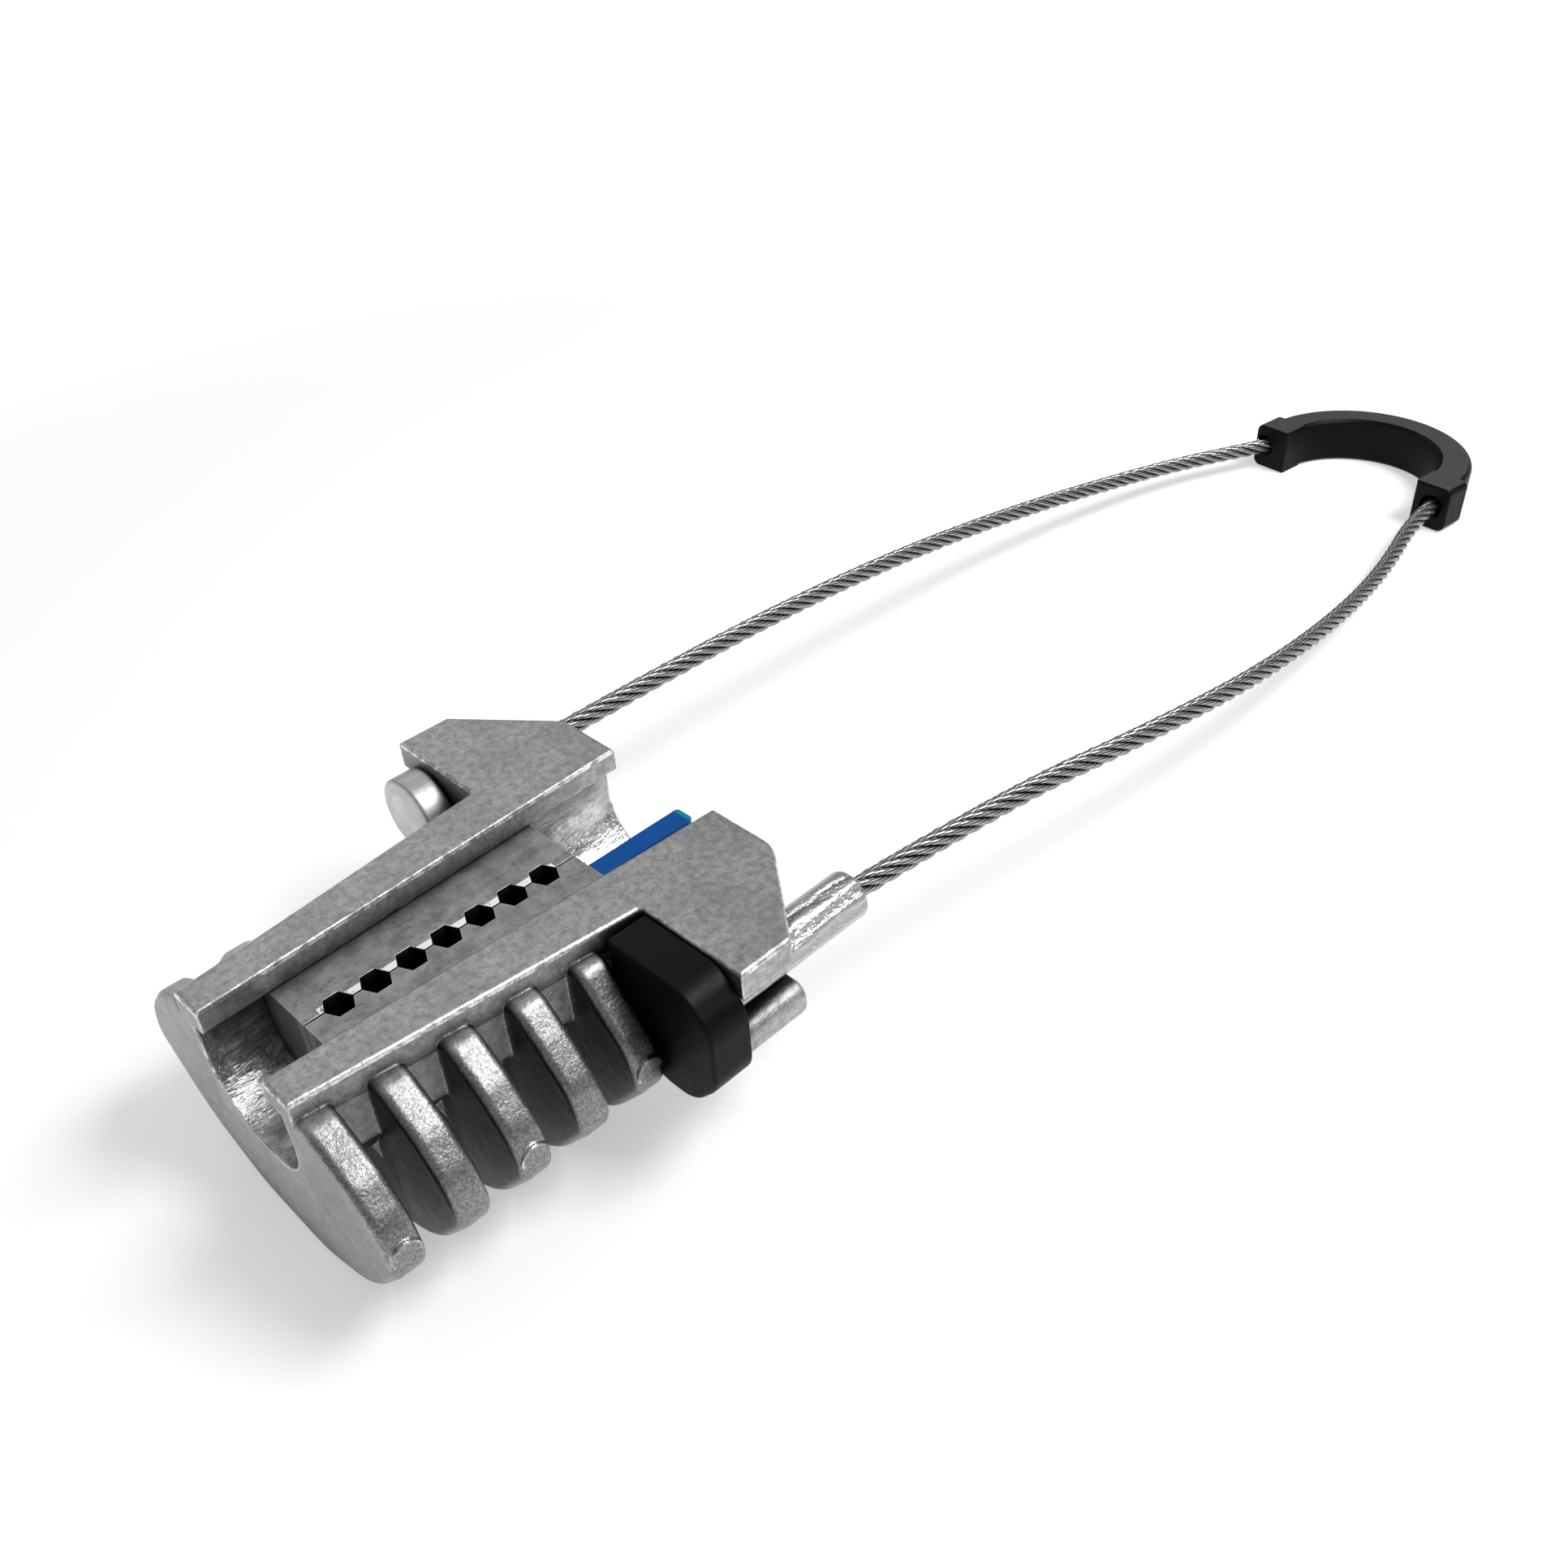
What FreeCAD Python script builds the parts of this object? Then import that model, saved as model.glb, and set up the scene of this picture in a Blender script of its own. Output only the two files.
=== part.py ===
"""Wedge dead-end clamp: a finned die-cast body with a tapered channel, two toothed jaws,
a wire rope bail with button ferrules, a keeper cap and a moulded saddle. Millimetres.

X runs along the conductor, from the mouth of the channel to the saddle, Y to the left, Z up.
Lengths along the casting are measured from its mouth and called stations.
"""
import FreeCAD, Part
import math
import os

import Sketcher

Vector = FreeCAD.Vector
doc = FreeCAD.newDocument("wedge_dead_end_clamp")

# Driving dimensions
SIZES = [
    ("body_length", 104, "casting, mouth to far end of the ears"),
    ("body_height", 50, "casting, floor to top face"),
    ("lip_near", 12, "half gap between the lips at the mouth"),
    ("lip_far", 16.5, "half gap between the lips at the far end"),
    ("lip_depth", 5.5, "thickness of the overhanging lips"),
    ("bay_near", 16.3, "half width of the channel at the mouth"),
    ("bay_far", 20.8, "half width of the channel at the far end"),
    ("bay_depth", 28, "top face to channel floor"),
    ("bay_round", 14, "radius along the channel floor"),
    ("wall", 4, "channel wall and floor"),
    ("skirt_depth", 14, "depth of the wall below the rim plate"),
    ("skirt_round", 3, "radius along the lower edge of the skirt"),
    ("rim_near", 20.4, "half width of the rim at the mouth"),
    ("rim_ear", 28, "half width of the rim where the ears start"),
    ("rim_step", 0.6, "step from the rim to the trough wall below it"),
    ("plate", 6.5, "thickness of the rim and ear plates"),
    ("ear_start", 73.4, "station of the near face of the ears"),
    ("ear_reach", 56, "half width over the ears"),
    ("ear_corner", 86.5, "station where the outer edge turns in"),
    ("ear_shoulder", 34, "half width at the far corner of the ears"),
    ("ear_round", 7, "radius of the far corner of the ears"),
    ("edge_soft", 0.9, "small cast edge radius"),
    ("fin_count", 5, "fins under the hull"),
    ("fin_pitch", 13.9, "fin spacing"),
    ("fin_thick", 7.2, "fin thickness"),
    ("fin_edge", 1.8, "edge radius of the fins"),
    ("fin_flat", 12, "half width of the flat under each fin"),
    ("fin_low_y", 31, "half width of the fins at the turn of the hull"),
    ("fin_low_z", 7.5, "height of the turn of the hull"),
    ("fin_tip_y", 44.5, "half width of the fins at their tips"),
    ("fin_tip_drop", 22.3, "fin tips, below the nose"),
    ("fin_shoulder_in", 3, "shoulder of the fin ridge, inside the tips"),
    ("fin_shoulder_up", 9, "shoulder of the fin ridge, above the tips"),
    ("fin_crown_in", 10, "crown of the fin ridge, inside the tips"),
    ("fin_crown_up", 16.5, "crown of the fin ridge, above the tips"),
    ("fin_nose", 3.5, "nose of the fins beyond the rim"),
    ("fin_nose_drop", 4.2, "nose of the fins below the top face"),
    ("fin_hull_round", 30, "radius of the hull curve"),
    ("fin_tip_round", 6, "radius at the tips"),
    ("fin_crown_round", 14, "radius along the crown of the ridge"),
    ("fin_nose_round", 4, "radius at the nose"),
    ("pad_radius", 3.1, "round ejector pads on the fin tips"),
    ("pad_in", 1.1, "face of the ejector pads, inside the tip corner"),
    ("pad_up", 3, "ejector pads, above the tip corner"),
    ("pad_root", 9, "length of the ejector pads"),
    ("rope_radius", 2.5, "wire rope"),
    ("head_radius", 9.5, "button head of the ferrules"),
    ("head_length", 7, "button head of the ferrules"),
    ("sleeve_radius", 5.4, "ferrule sleeve"),
    ("sleeve_out", 9.4, "right sleeve, past the far end of the ears"),
    ("sleeve_short", 12, "left sleeve, short of the far end of the ears"),
    ("ferrule_inset", 10, "ferrule axes, inside the edge of the ears"),
    ("slot_gap", 0.3, "sleeve clearance in the ear slots"),
    ("slot_drop", 0.2, "metal between the ear slots and the ear plate"),
    ("head_gap", 0.3, "head clearance in front of the ears"),
    ("hook_length", 18.6, "length of the ear hooks"),
    ("hook_root", 15, "where the hooks leave the wall"),
    ("hook_drop", 10, "depth of the hooks below their slots"),
    ("prong_inset", 2, "end of the lower prongs, inside the edge of the ears"),
    ("prong_root", 8, "where the prongs leave the hooks, inside the ferrule axes"),
    ("prong_thick", 8, "thickness of the lower prongs"),
    ("prong_round", 3.4, "radius at the end of the prongs"),
    ("jaw_start", 14, "station of the near end of the jaws"),
    ("jaw_length", 64.5, "jaws"),
    ("jaw_gap", 0.3, "jaw clearance to the channel and lips"),
    ("tip_gap", 0.2, "half gap between facing teeth"),
    ("tooth_pitch", 8.15, "tooth spacing"),
    ("tooth_count", 7, "valleys along each jaw"),
    ("tooth_first", 7.5, "first valley, from the near end of the jaw"),
    ("valley_mouth", 6.2, "width of a valley at the tips"),
    ("valley_floor", 3.4, "width of a valley at its floor"),
    ("valley_depth", 2.9, "depth of a valley"),
    ("strip_length", 25, "guide strip behind the right jaw"),
    ("strip_inner", 4.5, "inner face of the strip from the middle"),
    ("strip_thick", 5, "guide strip"),
    ("strip_height", 12, "guide strip"),
    ("tongue_length", 8, "tongue of the strip in the jaw"),
    ("tongue_step", 1.1, "step from the strip to its tongue"),
    ("tongue_gap", 0.15, "tongue clearance in its pocket"),
    ("keeper_gap", 0.4, "keeper clearance to the fin and the ear"),
    ("keeper_wall", 1.7, "keeper shell"),
    ("keeper_inset", 1.5, "inner edge of the keeper, outside the rim"),
    ("keeper_drop", 18, "lowest point of the keeper, below the ferrule axis"),
    ("keeper_side", 8, "outer face of the keeper, above its lowest point"),
    ("keeper_chin", 7, "lower outer corner of the keeper, inside its outer face"),
    ("keeper_rise", 5, "rise of the underside of the keeper towards the rim"),
    ("keeper_round", 8.5, "corner radius of the keeper"),
    ("saddle_x", 358.5, "centre of the saddle arc"),
    ("saddle_y", -7, "centre of the saddle arc"),
    ("saddle_turn", -7.2, "how far the saddle is turned, degrees"),
    ("saddle_height", 15.3, "saddle"),
    ("saddle_inner", 25.5, "seat radius of the saddle"),
    ("saddle_outer", 36, "outer radius of the saddle"),
    ("saddle_edge", 1, "chamfer along the seat"),
    ("saddle_crown", 2.6, "rounded outer side of the saddle"),
    ("block_outer", 38, "outer face of the end blocks"),
    ("block_back", 6, "end blocks, behind the arc centre"),
    ("block_front", 4, "end blocks, in front of the arc centre"),
    ("block_round", 0.9, "edge radius of the end blocks"),
    ("flare_radius", 4.2, "mouth of the rope way"),
    ("flare_depth", 5, "mouth of the rope way"),
    ("bail_radius", 31, "radius of the rope in the saddle"),
    ("bail_enter", -18, "heading of the rope into the saddle, degrees"),
    ("bail_leave", -172, "heading of the rope out of the saddle, degrees"),
    ("bore_gap", 0.7, "rope clearance in the saddle"),
]
sizes = doc.addObject("Spreadsheet::Sheet", "sizes")
for row, (alias, number, note) in enumerate(SIZES, start=1):
    sizes.set(f"A{row}", note)
    sizes.set(f"B{row}", str(number))
    sizes.setAlias(f"B{row}", alias)
doc.recompute()


def size(alias):
    """The value of one driving dimension."""
    return float(getattr(sizes, alias))


def value(expression):
    """The value of an expression over the driving dimensions."""
    return float(sizes.evalExpression(expression))


def sheet(text):
    """Expression text with sheet names written as @name."""
    return text.replace("@", "sizes.")


# Outlines that follow the taper of the channel and the rim
def bay_at(station):
    return f"(@bay_near + (@bay_far - @bay_near) * ({station}) / @body_length)"


def lip_at(station):
    return f"(@lip_near + (@lip_far - @lip_near) * ({station}) / @body_length)"


def rim_at(station):
    return f"(@rim_near + (@rim_ear - @rim_near) * ({station}) / @ear_start)"


# Names worked out from the driving dimensions
RIGHT_END = "(@body_length + @sleeve_out)"
LEFT_END = "(@body_length - @sleeve_short)"
BACK = f"({RIGHT_END} / 2)"
TOP = "@body_height"
PLATE_UNDER = "(@body_height - @plate)"
SLOT_RADIUS = "(@sleeve_radius + @slot_gap)"
FERRULE_Y = "(@ear_reach - @ferrule_inset)"
FERRULE_Z = f"({PLATE_UNDER} - {SLOT_RADIUS} - @slot_drop)"
BAY_FLOOR = "(@body_height - @bay_depth)"
JAW_TOP = "(@body_height - @lip_depth - @jaw_gap)"
JAW_FLOOR = f"({BAY_FLOOR} + @jaw_gap)"
JAW_END = "(@jaw_start + @jaw_length)"
NOSE_Z = "(@body_height - @fin_nose_drop)"
TIP_Z = f"({NOSE_Z} - @fin_tip_drop)"
FIN_FIRST = "(@fin_thick / 2)"
LAST_FIN = f"({FIN_FIRST} + (@fin_count - 1) * @fin_pitch + @fin_thick / 2)"


# Building blocks
def origin_feature(body, role):
    return next(item for item in body.Origin.OriginFeatures if item.Role == role)


def new_body(name, at=("0", "0", "0")):
    """A body whose origin stands at a station, a side offset and a height."""
    body = doc.addObject("PartDesign::Body", name)
    body.Label = name
    body.setExpression("Placement.Base.x", sheet(f"({at[0]}) - {BACK}"))
    body.setExpression("Placement.Base.y", sheet(at[1]))
    body.setExpression("Placement.Base.z", sheet(at[2]))
    return body


def new_sketch(body, name, role, offset="0"):
    sketch = body.newObject("Sketcher::SketchObject", name)
    sketch.AttachmentSupport = [(origin_feature(body, role), "")]
    sketch.MapMode = "FlatFace"
    sketch.setExpression(".AttachmentOffset.Base.z", sheet(offset))
    return sketch


def outline(sketch, points):
    """A closed outline whose corners are bound to the sheet."""
    corners = [(sheet(x), sheet(y)) for x, y in points]
    places = [Vector(value(x), value(y), 0) for x, y in corners]
    count = len(places)
    for index in range(count):
        sketch.addGeometry(Part.LineSegment(places[index], places[(index + 1) % count]), False)
    for index in range(count):
        sketch.addConstraint(Sketcher.Constraint("Coincident", index, 2, (index + 1) % count, 1))
    for index, (x, y) in enumerate(corners):
        for kind, letter, text in (("DistanceX", "x", x), ("DistanceY", "y", y)):
            made = sketch.addConstraint(Sketcher.Constraint(kind, -1, 1, index, 1, value(text)))
            sketch.renameConstraint(made, f"{letter}{index}")
            sketch.setExpression(f"Constraints.{letter}{index}", text)


def circle(sketch, x, y, radius):
    centre = Vector(value(sheet(x)), value(sheet(y)), 0)
    sketch.addGeometry(Part.Circle(centre, Vector(0, 0, 1), value(sheet(radius))), False)
    for kind, letter, text in (("DistanceX", "x", x), ("DistanceY", "y", y)):
        made = sketch.addConstraint(Sketcher.Constraint(kind, -1, 1, 0, 3, value(sheet(text))))
        sketch.renameConstraint(made, letter)
        sketch.setExpression(f"Constraints.{letter}", sheet(text))
    made = sketch.addConstraint(Sketcher.Constraint("Radius", 0, value(sheet(radius))))
    sketch.renameConstraint(made, "radius")
    sketch.setExpression("Constraints.radius", sheet(radius))


def extrude(body, kind, name, sketch, length, reverse=False):
    """A pad, or a pocket, of a sketch."""
    feature = body.newObject(f"PartDesign::{kind}", name)
    feature.Profile = sketch
    feature.setExpression("Length", sheet(length))
    feature.Reversed = reverse
    sketch.Visibility = False
    doc.recompute()
    return feature


def picked_edges(shape, wanted):
    """Names of the edges that pass a test of their middle point and direction."""
    names = []
    for index, edge in enumerate(shape.Edges, start=1):
        if edge.Length < 1e-4:
            continue
        low, high = edge.ParameterRange
        middle = edge.valueAt((low + high) / 2)
        along = edge.tangentAt((low + high) / 2)
        if wanted(middle, along, edge):
            names.append(f"Edge{index}")
    return names


def fillet(body, name, base, wanted, radius):
    feature = body.newObject("PartDesign::Fillet", name)
    feature.Base = (base, picked_edges(base.Shape, wanted))
    feature.setExpression("Radius", sheet(radius))
    doc.recompute()
    return feature


def near(a, b, slack=0.01):
    return abs(a - b) < slack


def fuse(name, parts):
    joined = doc.addObject("Part::MultiFuse", name)
    joined.Shapes = parts
    doc.recompute()
    return joined


def cut(name, base, tool):
    result = doc.addObject("Part::Cut", name)
    result.Base = base
    result.Tool = tool
    result.Label = name
    doc.recompute()
    return result


# The hull: a tapered trough around the channel
def tapered(name, low, high, start, end, half, round_radius=None):
    """A bar whose plan follows a taper, with rounded lower edges."""
    body = new_body(name)
    sketch = new_sketch(body, f"{name}_plan", "XY_Plane", low)
    outline(sketch, [
        (start, f"-{half(start)}"),
        (end, f"-{half(end)}"),
        (end, half(end)),
        (start, half(start)),
    ])
    pad = extrude(body, "Pad", f"{name}_pad", sketch, f"{high} - {low}")
    if round_radius:
        floor = value(sheet(low))
        fillet(body, f"{name}_round", pad,
               lambda p, d, e: near(p.z, floor) and abs(d.x) > 0.9, round_radius)
    return body


def hull_at(station):
    """Half width of the trough: flush with the rim, less a small step."""
    return f"({rim_at(station)} - @rim_step)"


hull = tapered("hull", f"({BAY_FLOOR} - @wall)", f"({TOP} - 1)", "0", "@body_length",
               lambda s: f"({bay_at(s)} + @wall)", "(@bay_round + @wall)")


# The rim and the flat ear plates
def make_plate():
    body = new_body("rim_plate")
    sketch = new_sketch(body, "plate_plan", "XY_Plane", PLATE_UNDER)
    half = [
        ("0", "@rim_near"),
        ("@ear_start", "@rim_ear"),
        ("@ear_start", "@ear_reach"),
        ("@ear_corner", "@ear_reach"),
        ("@body_length", "@ear_shoulder"),
    ]
    outline(sketch, [(x, f"-{y}") for x, y in half] + list(reversed(half)))
    pad = extrude(body, "Pad", "plate_pad", sketch, "@plate")
    far, shoulder = size("body_length"), size("ear_shoulder")
    corner = fillet(body, "ear_corner_round", pad,
                    lambda p, d, e: abs(d.z) > 0.9 and near(p.x, far) and near(abs(p.y), shoulder),
                    "@ear_round")
    root, rim = size("ear_start"), size("rim_ear")
    inner = fillet(body, "ear_root_round", corner,
                   lambda p, d, e: abs(d.z) > 0.9 and near(p.x, root) and near(abs(p.y), rim),
                   "@edge_soft")
    top = size("body_height")
    fillet(body, "plate_edge", inner,
           lambda p, d, e: near(p.z, top) and abs(d.z) < 0.1, "@edge_soft")
    return body


rim_plate = make_plate()


# Under the rim the trough walls stand flush with its outer edge
def make_skirt():
    body = new_body("skirt")
    sketch = new_sketch(body, "skirt_plan", "XY_Plane", f"({PLATE_UNDER} - @skirt_depth)")
    outline(sketch, [
        ("0", f"-{hull_at('0')}"),
        ("@ear_start", f"-{hull_at('@ear_start')}"),
        ("@ear_start", hull_at("@ear_start")),
        ("0", hull_at("0")),
    ])
    pad = extrude(body, "Pad", "skirt_pad", sketch, "(@skirt_depth + 1)")
    low = value(sheet(f"({PLATE_UNDER} - @skirt_depth)"))
    fillet(body, "skirt_round", pad,
           lambda p, d, e: near(p.z, low) and abs(d.x) > 0.9, "@skirt_round")
    return body


# Fins with rounded edges, cast across the hull
def make_fin(index):
    station = f"({FIN_FIRST} + {index} * @fin_pitch - @fin_thick / 2)"
    body = new_body(f"fin_{index + 1}", (station, "0", "0"))
    sketch = new_sketch(body, f"fin_profile_{index + 1}", "YZ_Plane")
    nose = (f"({rim_at(station)} + @fin_nose)", NOSE_Z)
    crown = ("(@fin_tip_y - @fin_crown_in)", f"({TIP_Z} + @fin_crown_up)")
    shoulder = ("(@fin_tip_y - @fin_shoulder_in)", f"({TIP_Z} + @fin_shoulder_up)")
    half = [
        ("@fin_flat", "0"),
        ("@fin_low_y", "@fin_low_z"),
        ("@fin_tip_y", TIP_Z),
        shoulder,
        crown,
        nose,
        (f"({rim_at(station)} - 2)", NOSE_Z),
    ]
    outline(sketch, half + [(f"-{y}", z) for y, z in reversed(half)])
    solid = extrude(body, "Pad", f"fin_pad_{index + 1}", sketch, "@fin_thick")
    rounds = [
        ("hull", ["@fin_flat", "@fin_low_y"], "@fin_hull_round"),
        ("tip", ["@fin_tip_y"], "@fin_tip_round"),
        ("crown", [crown[0], shoulder[0]], "@fin_crown_round"),
        ("nose", [nose[0]], "@fin_nose_round"),
    ]
    for word, corners, radius in rounds:
        places = [value(sheet(corner)) for corner in corners]
        solid = fillet(body, f"fin_{word}_{index + 1}", solid,
                       lambda p, d, e: abs(d.x) > 0.9 and any(near(abs(p.y), y) for y in places),
                       radius)
    thick = size("fin_thick")
    fillet(body, f"fin_edge_{index + 1}", solid,
           lambda p, d, e: abs(d.x) < 0.1 and (near(p.x, 0) or near(p.x, thick)), "@fin_edge")
    return body


def make_pad(index, side):
    """A round ejector pad that faces outwards at the tip of a fin."""
    pad = doc.addObject("Part::Cylinder", f"ejector_pad_{index + 1}_{'left' if side > 0 else 'right'}")
    pad.Placement.Rotation = FreeCAD.Rotation(Vector(1, 0, 0), -90 * side)
    pad.setExpression("Radius", sheet("@pad_radius"))
    pad.setExpression("Height", sheet("@pad_root"))
    pad.setExpression("Placement.Base.x", sheet(f"{index} * @fin_pitch + @fin_thick / 2 - {BACK}"))
    pad.setExpression("Placement.Base.y", sheet(f"{side} * (@fin_tip_y - @pad_in - @pad_root)"))
    pad.setExpression("Placement.Base.z", sheet(f"{TIP_Z} + @pad_up"))
    return pad


# Ear hooks: an inner block and a lower prong hold each ferrule against the ear plate
def make_hook(side):
    name = "hook_left" if side > 0 else "hook_right"
    body = new_body(name, ("@ear_start", "0", "0"))
    sketch = new_sketch(body, f"{name}_profile", "YZ_Plane")
    prong_top = f"({FERRULE_Z} - {SLOT_RADIUS})"
    low = f"({prong_top} - @hook_drop)"
    tip = "(@ear_reach - @prong_inset)"
    half = [
        ("@hook_root", f"({TOP} - 2)"),
        ("@hook_root", low),
        (f"({FERRULE_Y} - @prong_root)", low),
        (tip, f"({prong_top} - @prong_thick)"),
        (tip, prong_top),
        (FERRULE_Y, prong_top),
        (FERRULE_Y, f"({TOP} - 2)"),
    ]
    outline(sketch, [(f"{side} * {y}", z) for y, z in half])
    pad = extrude(body, "Pad", f"{name}_pad", sketch, "@hook_length")
    reach = value(sheet(tip))
    ends = fillet(body, f"{name}_prong", pad,
                  lambda p, d, e: abs(d.x) > 0.9 and near(abs(p.y), reach), "@prong_round")
    length = size("hook_length")
    level = value(sheet(prong_top))
    fillet(body, f"{name}_edge", ends,
           lambda p, d, e: near(p.x, length) and abs(d.x) < 0.1 and p.z < level + 0.5
           and abs(p.y) > size("hook_root") + 1, "@edge_soft")
    return body


def make_slot(side):
    """The round seat of a ferrule sleeve, through the whole ear."""
    slot = doc.addObject("Part::Cylinder", "slot_left" if side > 0 else "slot_right")
    slot.Placement.Rotation = FreeCAD.Rotation(Vector(0, 1, 0), 90)
    slot.setExpression("Radius", sheet(SLOT_RADIUS))
    slot.setExpression("Height", sheet("@body_length"))
    slot.setExpression("Placement.Base.x", sheet(f"@ear_start - 1 - {BACK}"))
    slot.setExpression("Placement.Base.y", sheet(f"{side} * {FERRULE_Y}"))
    slot.setExpression("Placement.Base.z", sheet(FERRULE_Z))
    return slot


def make_clamp_body():
    fins = [make_fin(index) for index in range(int(size("fin_count")))]
    pads = [make_pad(index, side) for index in range(0, len(fins), 2) for side in (1, -1)]
    hooks = [make_hook(side) for side in (1, -1)]
    solid = fuse("casting", [hull, make_skirt(), rim_plate] + fins + pads + hooks)
    over, past = "(0 - 2)", "(@body_length + 2)"
    bay = tapered("bay", BAY_FLOOR, f"({TOP} - @lip_depth)", over, past, bay_at, "@bay_round")
    mouth = tapered("lip_gap", f"({TOP} - @lip_depth - 2)", f"({TOP} + 2)", over, past, lip_at)
    hollow = fuse("hollow", [bay, mouth] + [make_slot(side) for side in (1, -1)])
    return cut("clamp_body", solid, hollow)


# Jaws: wedges that follow the channel wall, with trapezoidal teeth on their inner faces
def make_jaw(name, side):
    body = new_body(name)
    sketch = new_sketch(body, f"{name}_plan", "XY_Plane", JAW_FLOOR)
    start, end = "@jaw_start", JAW_END
    outline(sketch, [
        (start, f"{side} * @tip_gap"),
        (end, f"{side} * @tip_gap"),
        (end, f"{side} * ({bay_at(end)} - @jaw_gap)"),
        (start, f"{side} * ({bay_at(start)} - @jaw_gap)"),
    ])
    pad = extrude(body, "Pad", f"{name}_pad", sketch, f"{JAW_TOP} - {JAW_FLOOR}")
    floor = value(sheet(JAW_FLOOR))
    heel = fillet(body, f"{name}_heel", pad,
                  lambda p, d, e: near(p.z, floor) and abs(p.y) > 8 and abs(d.x) > 0.9,
                  "(@bay_round - @jaw_gap)")
    if side < 0:
        below = f"({JAW_TOP} - @strip_height - @tongue_gap)"
        pocket = new_sketch(body, "tongue_pocket", "XY_Plane", below)
        near_face = "(@strip_inner + @tongue_step - @tongue_gap)"
        far_face = "(@strip_inner + @strip_thick - @tongue_step + @tongue_gap)"
        inside = f"({end} - @tongue_length - @tongue_gap)"
        outline(pocket, [
            (inside, f"-{far_face}"),
            (f"({end} + 1)", f"-{far_face}"),
            (f"({end} + 1)", f"-{near_face}"),
            (inside, f"-{near_face}"),
        ])
        heel = extrude(body, "Pocket", "tongue_cut", pocket,
                       "(@strip_height * 2 / 3 + 2 * @tongue_gap)", reverse=True)
    valley = new_sketch(body, f"{name}_valley", "XY_Plane", f"({JAW_FLOOR} - 1)")
    middle = "(@jaw_start + @tooth_first)"
    outline(valley, [
        (f"({middle} - @valley_mouth / 2)", f"{side} * (0 - 1)"),
        (f"({middle} + @valley_mouth / 2)", f"{side} * (0 - 1)"),
        (f"({middle} + @valley_mouth / 2)", f"{side} * @tip_gap"),
        (f"({middle} + @valley_floor / 2)", f"{side} * (@tip_gap + @valley_depth)"),
        (f"({middle} - @valley_floor / 2)", f"{side} * (@tip_gap + @valley_depth)"),
        (f"({middle} - @valley_mouth / 2)", f"{side} * @tip_gap"),
    ])
    first = extrude(body, "Pocket", f"{name}_tooth_cut", valley,
                    f"({JAW_TOP} - {JAW_FLOOR} + 2)", reverse=True)
    row = body.newObject("PartDesign::LinearPattern", f"{name}_teeth")
    row.Originals = [first]
    row.Direction = (origin_feature(body, "X_Axis"), [""])
    row.setExpression("Length", sheet("@tooth_pitch * (@tooth_count - 1)"))
    row.setExpression("Occurrences", sheet("@tooth_count"))
    body.Tip = row
    doc.recompute()
    return body


# The plastic guide strip behind the right jaw, with a tongue in its end
def make_strip():
    body = new_body("jaw_guide_strip")
    blade = new_sketch(body, "strip_plan", "XY_Plane", f"({JAW_TOP} - @strip_height)")
    outer = "(@strip_inner + @strip_thick)"
    outline(blade, [
        (JAW_END, f"-{outer}"),
        (f"({JAW_END} + @strip_length)", f"-{outer}"),
        (f"({JAW_END} + @strip_length)", "-@strip_inner"),
        (JAW_END, "-@strip_inner"),
    ])
    pad = extrude(body, "Pad", "strip_blade", blade, "@strip_height")
    end = value(sheet(f"{JAW_END} + @strip_length"))
    fillet(body, "strip_end", pad, lambda p, d, e: abs(d.z) > 0.9 and near(p.x, end), "@edge_soft")
    tongue = new_sketch(body, "tongue_plan", "XY_Plane", f"({JAW_TOP} - @strip_height)")
    outline(tongue, [
        (f"({JAW_END} - @tongue_length)", f"-({outer} - @tongue_step)"),
        (f"({JAW_END} + 1)", f"-({outer} - @tongue_step)"),
        (f"({JAW_END} + 1)", "-(@strip_inner + @tongue_step)"),
        (f"({JAW_END} - @tongue_length)", "-(@strip_inner + @tongue_step)"),
    ])
    extrude(body, "Pad", "strip_tongue", tongue, "(@strip_height * 2 / 3)")
    return body


# Swaged ferrules: a button head and a plain sleeve
def make_ferrule(name, side, end):
    head_end = "(@ear_start - @head_gap)"
    body = new_body(name, (f"({head_end} - @head_length)", f"{side} * {FERRULE_Y}", FERRULE_Z))
    sketch = new_sketch(body, f"{name}_profile", "XZ_Plane")
    length = f"({end} - {head_end} + @head_length)"
    outline(sketch, [
        ("0", "0"),
        ("0", "@head_radius"),
        ("@head_length", "@head_radius"),
        ("@head_length", "@sleeve_radius"),
        (length, "@sleeve_radius"),
        (length, "0"),
    ])
    turned = body.newObject("PartDesign::Revolution", f"{name}_turned")
    turned.Profile = sketch
    turned.ReferenceAxis = (sketch, ["H_Axis"])
    turned.Angle = 360
    doc.recompute()
    head, sleeve, tail = size("head_radius"), size("sleeve_radius"), value(sheet(length))

    def rims(point, along, edge):
        radius = getattr(edge.Curve, "Radius", 0)
        return near(radius, head) or (near(radius, sleeve) and near(point.x, tail))

    fillet(body, f"{name}_soft", turned, rims, "@edge_soft")
    return body


# Corner of an octagon round a circle, as a share of its radius
OCTAGON = round(math.tan(math.radians(22.5)), 4)


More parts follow.
